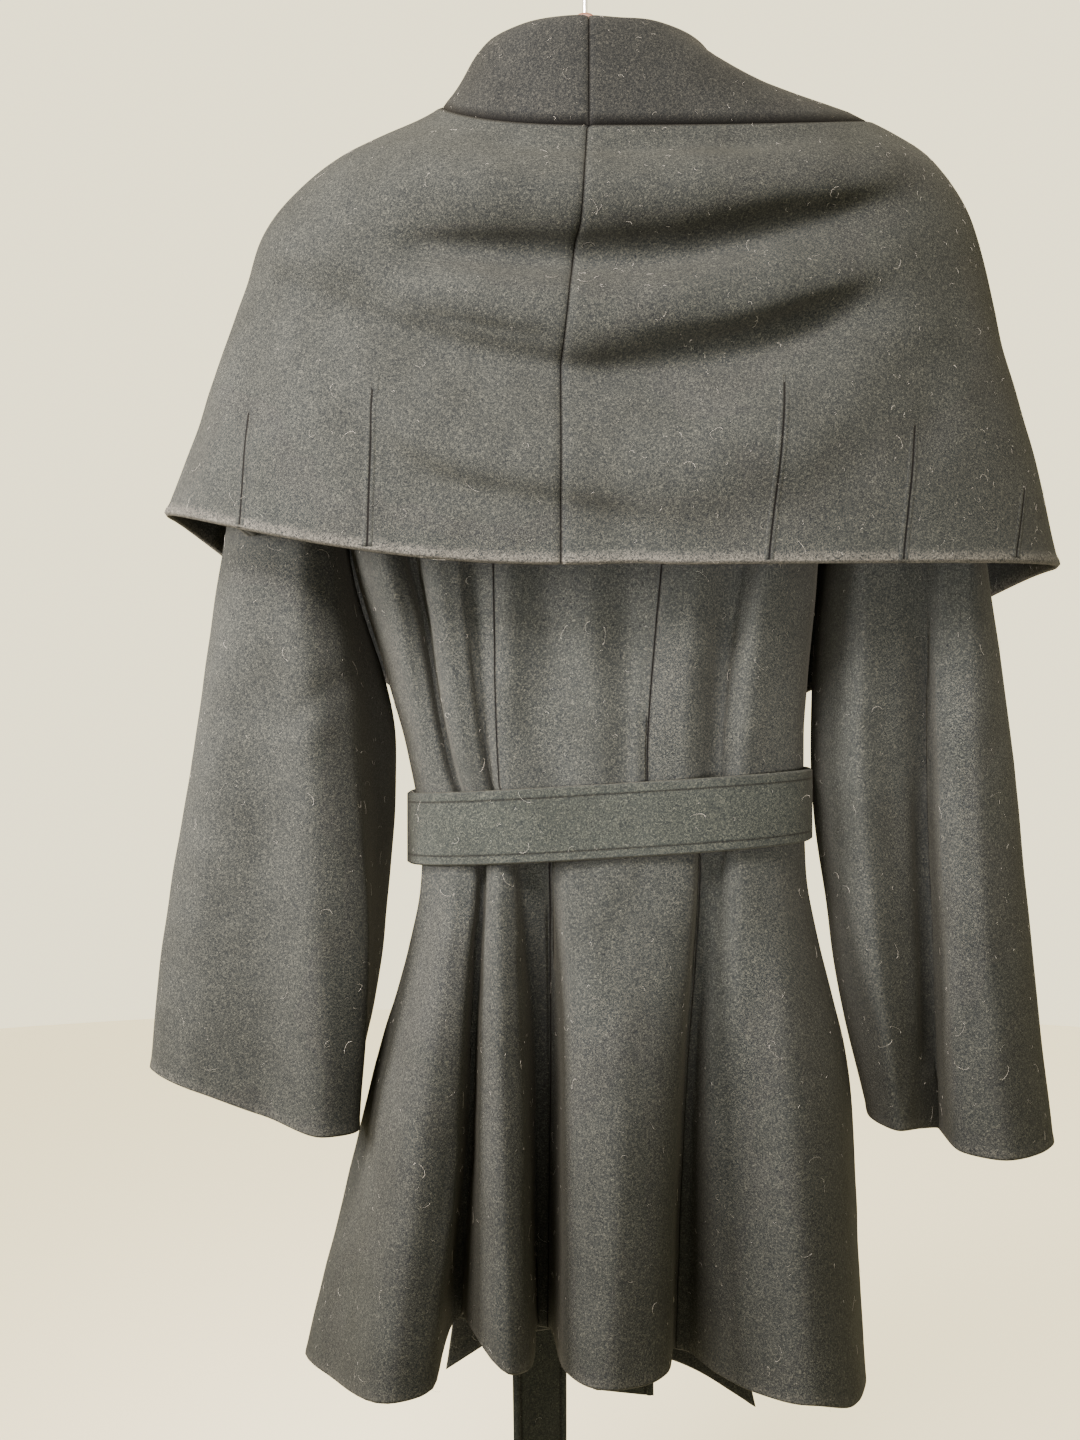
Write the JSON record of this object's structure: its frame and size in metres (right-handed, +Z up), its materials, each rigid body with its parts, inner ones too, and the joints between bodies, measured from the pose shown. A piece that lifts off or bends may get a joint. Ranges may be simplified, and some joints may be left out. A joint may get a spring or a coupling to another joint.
{
  "type": "wrap coat on a hanger",
  "caption": "Black napped wool wrap coat with a wide shawl-and-cape collar, bell sleeves, flared skirt in deep folds and a tied self belt, hanging closed on a plain wooden hanger.",
  "frame": {"origin": "inside the crown of the hanger's hook, where the rail bears", "axes": "+Z up, +X towards the wearer's left, the coat's back faces +Y and its front -Y"},
  "size_m": [0.6152, 0.2944, 1.1334],
  "materials": {
    "wool": "matt, napped",
    "hanger_wood": "satin varnish",
    "hook_wire": "plated"
  },
  "bodies": {
    "root": {"back_centre": "wool", "back_side_left": "wool", "back_side_right": "wool", "front_left": "wool", "front_right": "wool", "sleeve_left": "wool", "sleeve_right": "wool", "band_back_left": "wool", "band_back_right": "wool", "band_front_left": "wool", "band_front_right": "wool", "cape_left": "wool", "cape_right": "wool", "belt_loop": "wool", "belt_knot": "wool", "belt_tail_short": "wool", "belt_tail_long": "wool", "hanger_wood": "hanger_wood", "hanger_hook": "hook_wire"}
  },
  "joints": []
}
